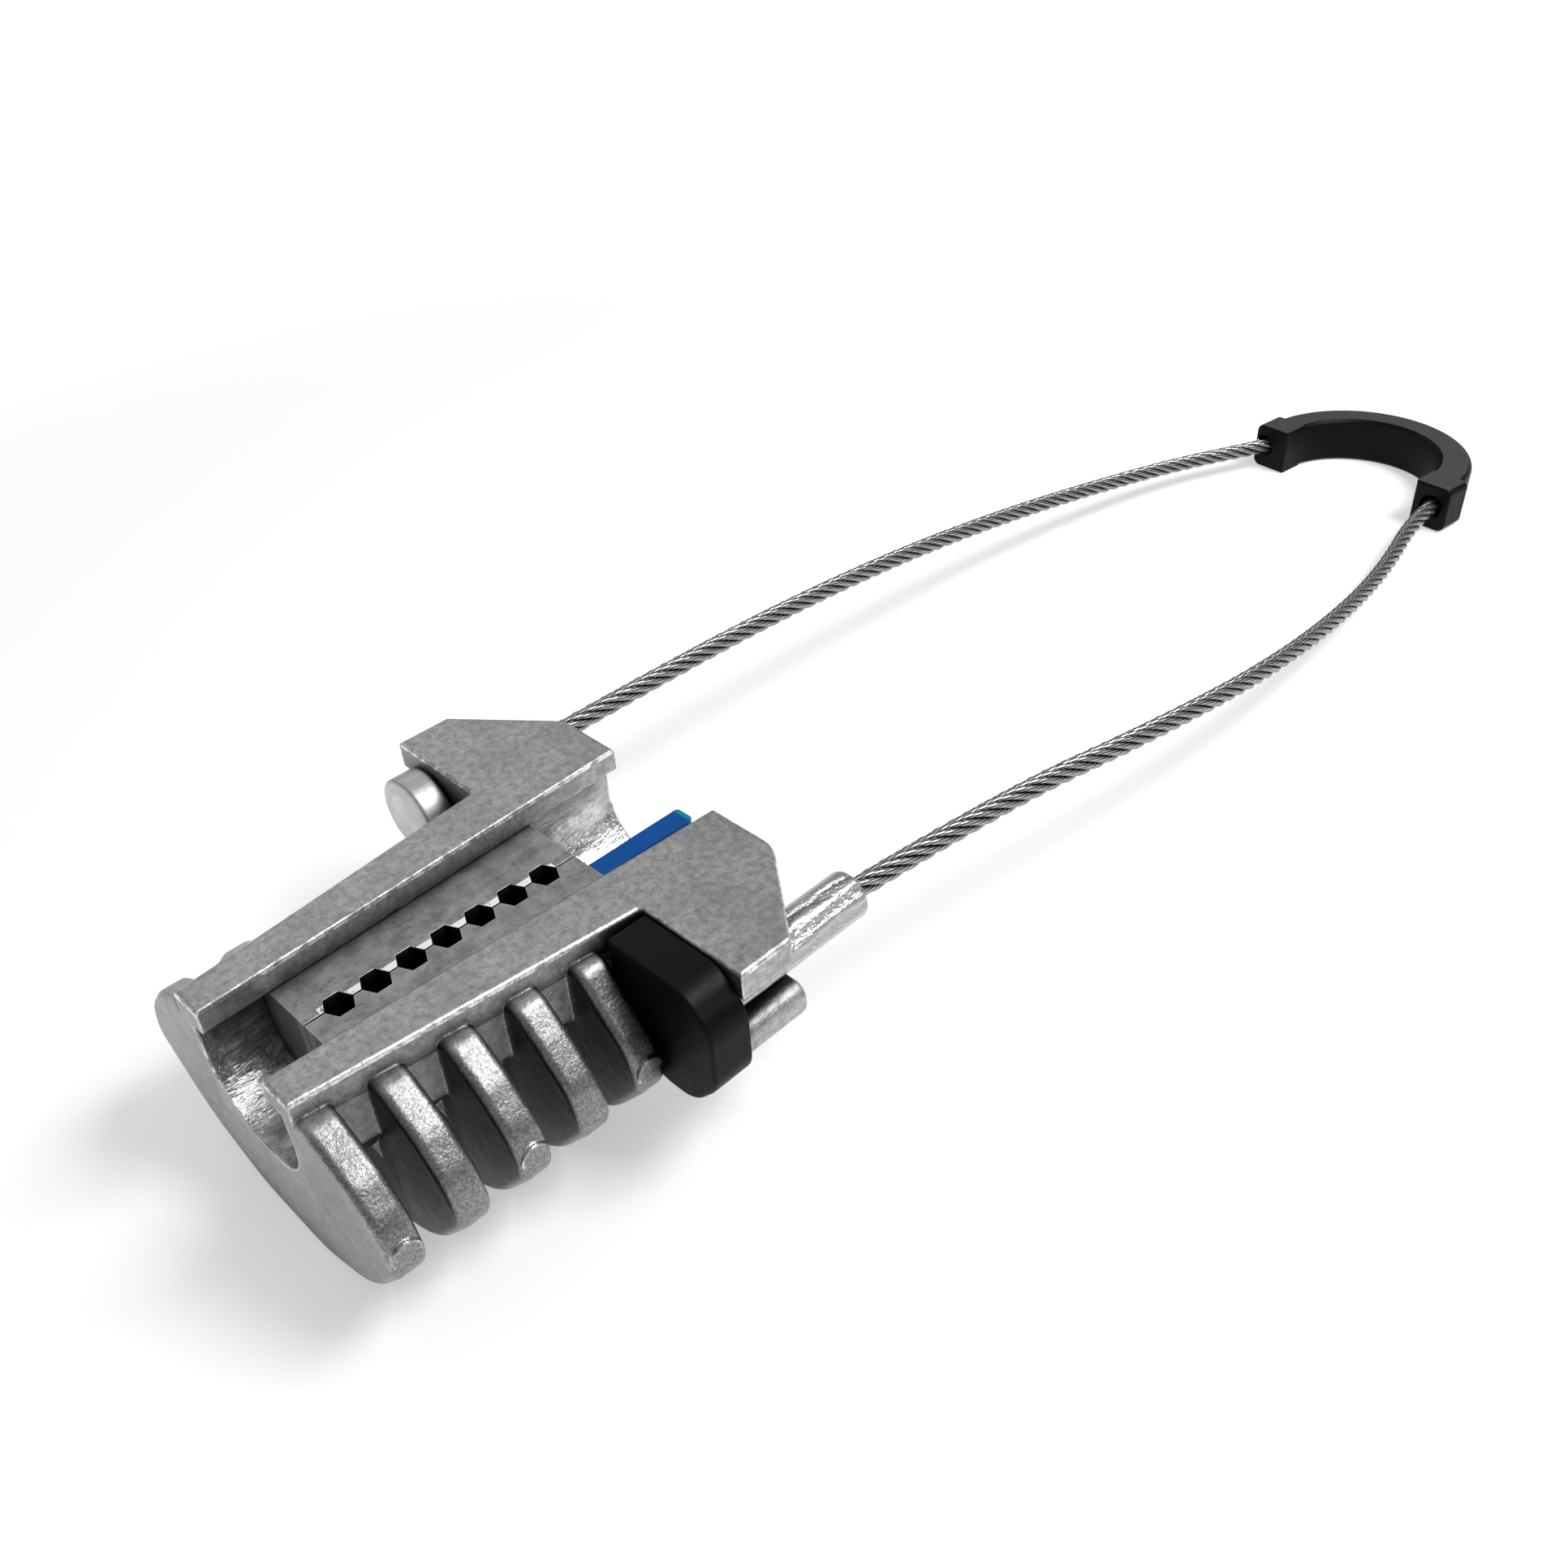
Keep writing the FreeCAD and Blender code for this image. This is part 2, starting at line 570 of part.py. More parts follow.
# The keeper: a moulded cap over the head of the right ferrule, open towards the hull
def make_keeper():
    start = f"({LAST_FIN} + @keeper_gap)"
    depth = f"(@ear_start - @keeper_gap - {start})"
    body = new_body("ferrule_keeper", (start, "0", "0"))
    pocket_radius = "(@head_radius + @head_gap)"
    shell = f"({pocket_radius} + @keeper_wall)"
    bevel = f"({OCTAGON} * {shell})"
    root_y = "(@rim_ear + @keeper_inset)"
    top = f"({FERRULE_Z} + {shell})"
    low = f"({FERRULE_Z} - @keeper_drop)"
    reach = f"({FERRULE_Y} + {shell})"
    sketch = new_sketch(body, "keeper_profile", "YZ_Plane")
    outline(sketch, [
        (f"-{root_y}", top),
        (f"-({FERRULE_Y} + {bevel})", top),
        (f"-{reach}", f"({FERRULE_Z} + {bevel})"),
        (f"-{reach}", f"({low} + @keeper_side)"),
        (f"-({reach} - @keeper_chin)", low),
        (f"-({FERRULE_Y} - @keeper_chin / 2)", low),
        (f"-{root_y}", f"({low} + @keeper_rise)"),
    ])
    pad = extrude(body, "Pad", "keeper_pad", sketch, depth)
    root = value(sheet(root_y))
    soft = fillet(body, "keeper_corners", pad,
                  lambda p, d, e: abs(d.x) > 0.9 and abs(p.y) > root + 1, "@keeper_round")
    fillet(body, "keeper_face", soft,
           lambda p, d, e: abs(d.x) < 0.1 and near(p.x, 0), "@edge_soft")
    seat = new_sketch(body, "keeper_seat", "YZ_Plane", depth)
    circle(seat, f"-{FERRULE_Y}", FERRULE_Z, pocket_radius)
    seat_depth = f"({depth} - @keeper_wall)"
    extrude(body, "Pocket", "keeper_seat_cut", seat, seat_depth)
    way = new_sketch(body, "keeper_way", "YZ_Plane", depth)
    outline(way, [
        (f"-{FERRULE_Y}", f"({FERRULE_Z} - {pocket_radius})"),
        (f"-({root_y} - 2)", f"({FERRULE_Z} - {pocket_radius})"),
        (f"-({root_y} - 2)", f"({FERRULE_Z} + {pocket_radius})"),
        (f"-{FERRULE_Y}", f"({FERRULE_Z} + {pocket_radius})"),
    ])
    extrude(body, "Pocket", "keeper_way_cut", way, seat_depth)
    return body


# The rope follows straight runs joined by tangent arcs
def route_wire(points):
    """A wire through the route, its corners rounded, and the radius of each arc."""
    edges, radii = [], []
    start = points[0]
    for before, corner, after in zip(points, points[1:], points[2:]):
        arriving = (corner - before).normalize()
        leaving = (after - corner).normalize()
        half_turn = arriving.getAngle(leaving) / 2
        reach = 0.45 * min(corner.distanceToPoint(before), corner.distanceToPoint(after))
        inward = (leaving - arriving).normalize()
        radius = reach / math.tan(half_turn)
        centre = corner + inward * (radius / math.cos(half_turn))
        first, last = corner - arriving * reach, corner + leaving * reach
        edges.append(Part.LineSegment(start, first).toShape())
        edges.append(Part.Arc(first, centre - inward * radius, last).toShape())
        radii.append(radius)
        start = last
    edges.append(Part.LineSegment(start, points[-1]).toShape())
    return Part.Wire(edges), radii


def tube(wire, radius):
    """A round bar swept along a wire."""
    first = wire.Edges[0]
    start = first.valueAt(first.FirstParameter)
    along = first.tangentAt(first.FirstParameter)
    ring = Part.Wire([Part.Circle(start, along, radius).toShape()])
    return wire.makePipeShell([ring], True, False)


# Corners of the rope inside the saddle, in the saddle's own frame
BAIL_CORNERS = 5


def saddle_corners():
    enter, leave = size("bail_enter"), size("bail_leave")
    step = (leave - enter) / BAIL_CORNERS
    reach = size("bail_radius") / math.cos(math.radians(step / 2))
    height = size("saddle_height") / 2
    corners = []
    for index in range(BAIL_CORNERS):
        angle = math.radians(90 + enter + (index + 0.5) * step)
        corners.append(Vector(reach * math.cos(angle), reach * math.sin(angle), height))
    return corners


def heading(degrees, length):
    angle = math.radians(degrees)
    return Vector(length * math.cos(angle), length * math.sin(angle), 0)


SADDLE_LEAD = 32
saddle_place = FreeCAD.Placement(
    Vector(size("saddle_x"), size("saddle_y"), 0),
    FreeCAD.Rotation(Vector(0, 0, 1), size("saddle_turn")))


def saddle_route():
    """The rope's corners through the saddle, with one point before and one behind it."""
    corners = saddle_corners()
    before = corners[0] - heading(size("bail_enter"), SADDLE_LEAD)
    behind = corners[-1] + heading(size("bail_leave"), SADDLE_LEAD)
    return [before] + corners + [behind]


# Free route of the rope, left leg out and right leg back, chosen from the photograph
LEFT_LEG = [
    (80, 46.9, 37.1), (134, 50, 33.3), (188, 53, 26.6),
    (242, 54, 18.2), (290, 50, 11.5), (325, 42.5, 8.3),
]
RIGHT_LEG = [
    (300, -47, 9.3), (258, -53.8, 14.5), (206, -57.8, 22.5), (152, -56.2, 31), (104, -50, 36.3),
]


def bail_points():
    height = value(sheet(FERRULE_Z))
    back = value(sheet(BACK))
    side = value(sheet(FERRULE_Y))
    start = Vector(value(sheet(LEFT_END)) - back, side, height)
    end = Vector(value(sheet(RIGHT_END)) - back, -side, height)
    through = [saddle_place.multVec(point) for point in saddle_route()]
    left = [Vector(*point) for point in LEFT_LEG]
    right = [Vector(*point) for point in RIGHT_LEG]
    return [start] + left + through + right + [end]


def make_rope():
    wire, radii = route_wire(bail_points())
    rope = doc.addObject("Part::Feature", "bail_rope")
    rope.Label = "bail_rope"
    rope.Shape = tube(wire, size("rope_radius"))
    section = math.pi * size("rope_radius") ** 2
    print("rope length", round(wire.Length, 1), "tightest radius", round(min(radii), 1))
    print("volume ratio", round(rope.Shape.Volume / section / wire.Length, 4))
    return rope


# The saddle: half a ring with two end blocks and a way through it for the rope
def make_saddle():
    body = doc.addObject("PartDesign::Body", "saddle_blank")
    ring = new_sketch(body, "saddle_section", "XZ_Plane")
    outline(ring, [
        ("@saddle_inner", "@saddle_edge"),
        ("(@saddle_inner + @saddle_edge)", "0"),
        ("@saddle_outer", "0"),
        ("@saddle_outer", "@saddle_height"),
        ("(@saddle_inner + @saddle_edge)", "@saddle_height"),
        ("@saddle_inner", "(@saddle_height - @saddle_edge)"),
    ])
    half_ring = body.newObject("PartDesign::Revolution", "saddle_ring")
    half_ring.Profile = ring
    half_ring.ReferenceAxis = (ring, ["V_Axis"])
    half_ring.Angle = 180
    half_ring.Midplane = True
    doc.recompute()
    outer = size("saddle_outer")
    last = fillet(body, "saddle_side", half_ring,
                  lambda p, d, e: near(getattr(e.Curve, "Radius", 0), outer), "@saddle_crown")
    for side, word in ((1, "left"), (-1, "right")):
        plan = new_sketch(body, f"block_plan_{word}", "XY_Plane")
        outline(plan, [
            ("-@block_back", f"{side} * @saddle_inner"),
            ("@block_front", f"{side} * @saddle_inner"),
            ("@block_front", f"{side} * @block_outer"),
            ("-@block_back", f"{side} * @block_outer"),
        ])
        last = extrude(body, "Pad", f"block_{word}", plan, "@saddle_height")
    back, wide = size("block_back"), size("block_outer")
    sides = fillet(body, "block_sides", last,
                   lambda p, d, e: near(abs(p.y), wide) and abs(d.x) > 0.9, "@saddle_crown")
    fillet(body, "block_soft", sides, lambda p, d, e: near(p.x, -back), "@block_round")
    way = doc.addObject("Part::Feature", "rope_way")
    wire, _ = route_wire(saddle_route())
    way.Shape = tube(wire, size("rope_radius") + size("bore_gap"))
    mouths = [make_flare("left", saddle_route()[:2]), make_flare("right", saddle_route()[:-3:-1])]
    saddle = cut("bail_saddle", body, fuse("rope_space", [way] + mouths))
    saddle.Placement = saddle_place
    doc.recompute()
    return saddle


def make_flare(word, run):
    """A cone that opens the rope way at the back face of an end block."""
    outside, inside = run
    along = (inside - outside).normalize()
    start = outside + along * ((-size("block_back") - 0.5 - outside.x) / along.x)
    flare = doc.addObject("Part::Cone", f"flare_{word}")
    flare.setExpression("Radius1", sheet("@flare_radius"))
    flare.setExpression("Radius2", sheet("@rope_radius + @bore_gap"))
    flare.setExpression("Height", sheet("@flare_depth"))
    flare.Placement = FreeCAD.Placement(start, FreeCAD.Rotation(Vector(0, 0, 1), along))
    return flare


NODES = [
    make_clamp_body(),
    make_jaw("left_jaw", 1),
    make_jaw("right_jaw", -1),
    make_strip(),
    make_ferrule("left_ferrule", 1, LEFT_END),
    make_ferrule("right_ferrule", -1, RIGHT_END),
    make_keeper(),
    make_rope(),
    make_saddle(),
]
doc.recompute()

for item in doc.Objects:
    if "Invalid" in item.State or "Error" in item.State:
        raise RuntimeError(f"{item.Label} failed: {item.State}")
os.makedirs("parts", exist_ok=True)
for node in NODES:
    if node.Shape.isNull() or not node.Shape.isValid():
        raise RuntimeError(f"{node.Label} has no valid shape")
    if len(node.Shape.Solids) != 1:
        raise RuntimeError(f"{node.Label} has {len(node.Shape.Solids)} solids")
for node in NODES:
    node.Shape.exportStep(f"parts/{node.Label}.step")
    box = node.Shape.BoundBox
    print(f"{node.Label:18s} {node.Shape.Volume:10.0f}  x {box.XMin:7.1f} {box.XMax:7.1f}"
          f"  y {box.YMin:7.1f} {box.YMax:7.1f}  z {box.ZMin:7.1f} {box.ZMax:7.1f}")
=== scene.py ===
"""Wedge dead-end clamp, dressed for the studio: materials on the CAD pieces and a stranded rope."""
import math

import bpy
from mathutils import Matrix, Vector


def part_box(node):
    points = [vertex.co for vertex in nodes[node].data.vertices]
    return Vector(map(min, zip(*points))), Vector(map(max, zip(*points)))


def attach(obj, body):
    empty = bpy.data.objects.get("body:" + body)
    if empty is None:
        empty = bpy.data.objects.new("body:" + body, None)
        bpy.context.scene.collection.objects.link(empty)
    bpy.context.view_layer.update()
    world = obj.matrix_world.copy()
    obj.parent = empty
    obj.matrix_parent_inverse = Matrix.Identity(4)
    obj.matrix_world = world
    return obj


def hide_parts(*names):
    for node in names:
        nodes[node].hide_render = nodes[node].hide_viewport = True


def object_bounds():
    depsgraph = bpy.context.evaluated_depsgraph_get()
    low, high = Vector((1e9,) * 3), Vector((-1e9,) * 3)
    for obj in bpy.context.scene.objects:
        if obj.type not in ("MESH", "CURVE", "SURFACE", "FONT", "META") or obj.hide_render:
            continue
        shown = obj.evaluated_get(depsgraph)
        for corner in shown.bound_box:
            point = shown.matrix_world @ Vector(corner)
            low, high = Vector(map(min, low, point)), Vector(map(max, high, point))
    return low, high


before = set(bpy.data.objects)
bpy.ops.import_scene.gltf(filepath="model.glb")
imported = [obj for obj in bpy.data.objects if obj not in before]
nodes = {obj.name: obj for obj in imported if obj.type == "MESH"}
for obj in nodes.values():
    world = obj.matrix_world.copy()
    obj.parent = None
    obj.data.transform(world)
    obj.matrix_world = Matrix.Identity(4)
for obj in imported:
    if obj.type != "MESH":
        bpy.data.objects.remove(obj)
cad_low, cad_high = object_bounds()

MM = 0.001


def link(name, data):
    """A new object in the scene."""
    made = bpy.data.objects.new(name, data)
    bpy.context.scene.collection.objects.link(made)
    return made


# Camera at the photograph's viewing angle, from its fitted axes
CAMERA_PLACE = Vector((-106.8, -202.2, 239.4)) * MM
CAMERA_RIGHT = Vector((0.700, -0.712, -0.051))
CAMERA_VIEW = Vector((0.544, 0.579, -0.607))
CAMERA_LENS = 33.5


def make_camera():
    data = bpy.data.cameras.new("camera")
    data.lens = CAMERA_LENS
    data.clip_start = 0.01
    camera = link("camera", data)
    back = -CAMERA_VIEW.normalized()
    up = back.cross(CAMERA_RIGHT).normalized()
    right = up.cross(back)
    turn = Matrix((right, up, back)).transposed()
    camera.matrix_world = Matrix.Translation(CAMERA_PLACE) @ turn.to_4x4()
    bpy.context.scene.camera = camera


# Material building
class Shader:
    """A node material with short calls for the nodes that the finishes share."""

    def __init__(self, name):
        self.material = bpy.data.materials.new(name)
        self.material.use_nodes = True
        self.tree = self.material.node_tree
        self.surface = self.tree.nodes["Principled BSDF"]
        self.place = self.node("ShaderNodeTexCoord").outputs["Object"]

    def node(self, kind, **settings):
        made = self.tree.nodes.new(kind)
        for key, setting in settings.items():
            setattr(made, key, setting)
        return made

    def feed(self, socket, source):
        if hasattr(source, "is_output"):
            self.tree.links.new(source, socket)
        else:
            socket.default_value = source

    def math(self, operation, first, second=0.0):
        made = self.node("ShaderNodeMath", operation=operation)
        self.feed(made.inputs[0], first)
        self.feed(made.inputs[1], second)
        return made.outputs[0]

    def times(self, first, *others):
        for other in others:
            first = self.math("MULTIPLY", first, other)
        return first

    def minus(self, first, second):
        return self.math("SUBTRACT", first, second)

    def inverse(self, mask):
        return self.minus(1.0, mask)

    def size_of(self, number):
        return self.math("ABSOLUTE", number)

    def more(self, number, limit):
        """1 where the number is above the limit, else 0."""
        return self.math("GREATER_THAN", number, limit)

    def less(self, number, limit):
        """1 where the number is below the limit, else 0."""
        return self.math("LESS_THAN", number, limit)

    def most(self, first, second):
        return self.math("MAXIMUM", first, second)

    def noise(self, scale, detail=3.0, roughness=0.55, stretch=None):
        made = self.node("ShaderNodeTexNoise")
        made.inputs["Scale"].default_value = scale
        made.inputs["Detail"].default_value = detail
        made.inputs["Roughness"].default_value = roughness
        self.feed(made.inputs["Vector"], self.stretched(stretch) if stretch else self.place)
        return made.outputs["Fac"]

    def patches(self, low, high, *noise, **stretch):
        """Noise turned into patches: 0 below low, 1 above high."""
        return self.ramp(self.noise(*noise, **stretch), low, high)

    def stretched(self, scale, shift=(0, 0, 0)):
        made = self.node("ShaderNodeMapping")
        made.inputs["Location"].default_value = shift
        made.inputs["Scale"].default_value = scale
        self.tree.links.new(self.place, made.inputs["Vector"])
        return made.outputs["Vector"]

    def ramp(self, source, low, high):
        """0 below low, 1 above high, smooth between."""
        made = self.node("ShaderNodeMapRange", interpolation_type="SMOOTHSTEP")
        self.feed(made.inputs["Value"], source)
        made.inputs["From Min"].default_value = low
        made.inputs["From Max"].default_value = high
        return made.outputs["Result"]

    def falling(self, source, low, high):
        """1 below low, 0 above high, smooth between."""
        return self.inverse(self.ramp(source, low, high))

    def between(self, factor, first, second):
        """A number between two others."""
        made = self.node("ShaderNodeMapRange")
        self.feed(made.inputs["Value"], factor)
        made.inputs["To Min"].default_value = first
        made.inputs["To Max"].default_value = second
        return made.outputs["Result"]

    def mix(self, factor, first, second):
        made = self.node("ShaderNodeMix", data_type="RGBA")
        self.feed(made.inputs["Factor"], factor)
        self.feed(made.inputs["A"], first)
        self.feed(made.inputs["B"], second)
        return made.outputs["Result"]

    def tint(self, colour, mask, share, toward):
        """The colour with a share of another one where the mask is 1."""
        return self.mix(self.times(mask, share), colour, toward)

    def axes(self, source=None):
        made = self.node("ShaderNodeSeparateXYZ")
        self.tree.links.new(source or self.place, made.inputs[0])
        return made.outputs[:3]

    def true_normal(self):
        return self.node("ShaderNodeNewGeometry").outputs["Normal"]

    def facing(self):
        """The true surface normal, by axis, in the piece's own frame."""
        turned = self.node("ShaderNodeVectorTransform", vector_type="NORMAL",
                           convert_from="WORLD", convert_to="OBJECT")
        self.tree.links.new(self.true_normal(), turned.inputs[0])
        return self.axes(turned.outputs[0])

    def rounded_normal(self, radius):
        bevel = self.node("ShaderNodeBevel", samples=6)
        bevel.inputs["Radius"].default_value = radius
        return bevel.outputs[0]

    def edges(self, radius, low, high):
        """Worn edges: where a rounded normal leaves the true one."""
        dot = self.node("ShaderNodeVectorMath", operation="DOT_PRODUCT")
        self.tree.links.new(self.rounded_normal(radius), dot.inputs[0])
        self.tree.links.new(self.true_normal(), dot.inputs[1])
        return self.ramp(self.inverse(dot.outputs["Value"]), low, high)

    def recess(self, reach, low, high):
        """0 deep in a recess, 1 in the open: the mask for painted shade."""
        made = self.node("ShaderNodeAmbientOcclusion", samples=6)
        made.inputs["Distance"].default_value = reach
        return self.ramp(made.outputs["AO"], low, high)

    def bump(self, height, strength, distance, under=None, soft_edge=None):
        made = self.node("ShaderNodeBump")
        made.inputs["Strength"].default_value = strength
        made.inputs["Distance"].default_value = distance
        self.feed(made.inputs["Height"], height)
        if soft_edge:
            under = self.rounded_normal(soft_edge)
        self.tree.links.new(under, made.inputs["Normal"])
        return made.outputs["Normal"]

    def finish(self, colour, roughness, normal=None, metallic=0.0, specular=None):
        self.feed(self.surface.inputs["Base Color"], colour)
        self.feed(self.surface.inputs["Roughness"], roughness)
        self.feed(self.surface.inputs["Metallic"], metallic)
        if normal is not None:
            self.feed(self.surface.inputs["Normal"], normal)
        if specular is not None:
            self.surface.inputs["Specular IOR Level"].default_value = specular
        return self.material


def grey(level, warmth=0.0):
    return (level * (1 + warmth), level, level * (1 - warmth), 1.0)


# The casting: its mouth and length, and the height where its top edges start to round
MOUTH_X = -56.7 * MM
CASTING_LENGTH = 104 * MM
TOP_EDGE = 48.9 * MM
# The channel through it: half width at the mouth and far end, floor and lips, each with a
# margin that keeps its surface inside the mask, and the heights over which painted shade darkens
# its walls
CHANNEL_MARGIN = 1 * MM
CHANNEL_HALF = (16.3 * MM + CHANNEL_MARGIN, 20.8 * MM + CHANNEL_MARGIN)
CHANNEL_FLOOR = 22 * MM - CHANNEL_MARGIN
LIP_UNDER = 44.5 * MM + 0.2 * MM
CHANNEL_PAINTED_SHADE = (33 * MM, 42 * MM)
# The bright inside of the channel starts and ends softly, short of the end faces
INSIDE_START = (MOUTH_X + 1 * MM, MOUTH_X + 3.5 * MM)
INSIDE_END = (42.5 * MM, 46.5 * MM)
# The skirt between the fins: half width at the mouth and at the ears, how far off its
# surface the mask fades, and its height from a soft lower edge to a plain upper one
EARS_FROM_MOUTH = 73.4 * MM
SKIRT_HALF = (19.8 * MM, 27.4 * MM)
SKIRT_FADE = (0.5 * MM, 2.2 * MM)
SKIRT_LOW = (29.5 * MM, 31.5 * MM)
SKIRT_TOP = 43.4 * MM
# The fins: how far out and up they show, where the last one ends, and the first one's back
FINS_OUTSIDE = (21 * MM, 24 * MM)
FINS_BELOW = (44 * MM, 46.5 * MM)
FINS_END_X = 8 * MM
FIRST_FIN_X = (MOUTH_X + 1.5 * MM, MOUTH_X + 3 * MM)
# The teeth of the jaws: from and to, how far off the middle the flanks are bright, and how far the
# tips get a painted glint
TEETH_START_X = -39 * MM
TEETH_END_X = 17 * MM
FLANK_HALF = (2.6 * MM, 3.0 * MM)
TIP_GLINT_HALF = (1.9 * MM, 2.1 * MM)
# The ferrules: their axis, a radius between sleeve and head, the wave of the facets in
# radians for each radian of turn, and of the turned rings in radians for each metre
FERRULE_Y = 46 * MM
FERRULE_Z = 37.6 * MM
SLEEVE_RADIUS = 6 * MM
FACET_WAVE = 4.0
RING_WAVE = 11000.0
# The blues of the strip: two of its body, its worn edges and the line across its end
STRIP_BODY = ((0.0, 0.060, 0.26, 1), (0.0, 0.088, 0.35, 1))
STRIP_WORN = (0.02, 0.13, 0.36, 1)
STRIP_LINE = (0.0, 0.24, 0.30, 1)


def half_width(shader, x, length, first, last):
    """A half width that grows along x from the mouth of the casting."""
    station = shader.math("DIVIDE", shader.minus(x, MOUTH_X), length)
    return shader.between(station, first, last)


def in_channel(shader):
    """1 on the walls of the channel, 0 elsewhere on the casting."""
    x, y, z = shader.axes()
    within = shader.less(shader.size_of(y), half_width(shader, x, CASTING_LENGTH, *CHANNEL_HALF))
    return shader.times(within, shader.more(z, CHANNEL_FLOOR), shader.less(z, LIP_UNDER))


def rounded_top_edge(shader, up):
    """1 on the rounded upper edges of the rim and the ears, which get a painted highlight."""
    high = shader.more(shader.axes()[2], TOP_EDGE)
    return shader.times(high, shader.falling(up, 0.86, 0.97))


def on_skirt(shader):
    """1 on the wall panels between the fins, 0 elsewhere."""
    x, y, z = shader.axes()
    half = half_width(shader, x, EARS_FROM_MOUTH, *SKIRT_HALF)
    off_wall = shader.size_of(shader.minus(shader.size_of(y), half))
    on_wall = shader.falling(off_wall, *SKIRT_FADE)
    return shader.times(on_wall, shader.ramp(z, *SKIRT_LOW), shader.less(z, SKIRT_TOP))


def on_fins(shader, along):
    """1 on the ridges and flanks of the fins, 0 on the end face of the casting."""
    x, y, z = shader.axes()
    outside = shader.ramp(shader.size_of(y), *FINS_OUTSIDE)
    below = shader.falling(z, *FINS_BELOW)
    ridge = shader.falling(shader.size_of(along), 0.80, 0.95)
    ridge = shader.most(ridge, shader.ramp(x, *FIRST_FIN_X))
    return shader.times(outside, below, shader.less(x, FINS_END_X), ridge)


def channel_colour(shader, colour, channel):
    """Wavy and bright low in the channel, with painted shade darkening the walls under the lips."""
    x, _, z = shader.axes()
    inside = shader.times(shader.ramp(x, *INSIDE_START), shader.falling(x, *INSIDE_END))
    waves = shader.patches(0.38, 0.60, 230, 5, 0.7, stretch=(0.5, 1.2, 1.2))
    bright = shader.mix(waves, grey(0.30), grey(0.80))
    # Painted shade: the walls darken toward the lips
    shaded_walls = shader.mix(shader.ramp(z, *CHANNEL_PAINTED_SHADE), bright, grey(0.16))
    return shader.mix(shader.times(channel, inside, 0.9), colour, shaded_walls)


def cast_aluminium():
    """Die-cast, tumbled: mottled satin grey, flecked, bright where edges are worn, with painted
    highlights on the rounded top edges and painted shade in recesses, on the front face and on the
    fins.
    """
    shader = Shader("cast_aluminium")
    channel = in_channel(shader)
    along, _, up = shader.facing()
    skirt = on_skirt(shader)
    fins = shader.times(on_fins(shader, along), shader.inverse(skirt))

    colour = shader.mix(shader.patches(0.36, 0.64, 520, 7, 0.78), grey(0.33), grey(0.58))
    scuffs = shader.patches(0.55, 0.70, 700, 6, 0.80, stretch=(1, 0.4, 0.7))
    colour = shader.tint(colour, scuffs, 0.60, grey(0.15))
    flecks = shader.patches(0.62, 0.72, 1300, 3, 0.65)
    colour = shader.tint(colour, flecks, 0.60, grey(0.90))
    broad = shader.patches(0.36, 0.64, 75, 3, 0.6)
    colour = shader.tint(colour, broad, 0.30, grey(0.26))
    scratches = shader.patches(0.60, 0.68, 650, 6, 0.85, stretch=(1, 0.22, 1))
    colour = shader.tint(colour, scratches, 0.60, grey(0.80))
    # Painted shade: the fins are darkened, with a fine grain
    fin_grain_and_shade = shader.mix(shader.patches(0.40, 0.62, 2000, 4, 0.7), grey(0.15), grey(0.34))
    colour = shader.tint(colour, fins, 0.85, fin_grain_and_shade)
    # Painted shade on the front end face
    front_face_shade = shader.falling(along, -0.97, -0.85)
    colour = shader.tint(colour, front_face_shade, 0.40, grey(0.22))
    colour = channel_colour(shader, colour, channel)

    # Worn edges brightened, with a painted highlight along the rounded top edges
    worn_and_highlight = shader.most(shader.edges(1.0 * MM, 0.015, 0.09), rounded_top_edge(shader, up))
    worn_and_highlight = shader.times(worn_and_highlight, shader.patches(0.40, 0.58, 330, 5, 0.75))
    colour = shader.mix(worn_and_highlight, colour, grey(0.98))
    # Painted shade: near black deep in recesses, lighter in the channel, mostly kept off the skirt
    # panels
    free_of_painted_shade = shader.recess(16 * MM, 0.34, 0.92)
    free_of_painted_shade = shader.most(free_of_painted_shade, shader.times(channel, shader.recess(9 * MM, 0.10, 0.66)))
    free_of_painted_shade = shader.most(free_of_painted_shade, shader.times(skirt, 0.82))
    colour = shader.mix(free_of_painted_shade, grey(0.012), colour)

    rough = shader.between(shader.noise(400, 5, 0.7), 0.32, 0.52)
    for smoother, share in ((worn_and_highlight, 0.22), (channel, 0.20), (fins, 0.08)):
        rough = shader.minus(rough, shader.times(smoother, share))
    skin = shader.bump(shader.noise(300, 6, 0.7), 0.50, 0.45 * MM, soft_edge=0.8 * MM)
    drawn = shader.times(shader.noise(420, 4, 0.7, stretch=(0.22, 1, 1)), channel)
    skin = shader.bump(drawn, 0.8, 0.60 * MM, under=skin)
    grain = shader.bump(shader.noise(1500, 4, 0.7), 0.55, 0.14 * MM, under=skin)
    return shader.finish(colour, rough, grain, metallic=0.88)


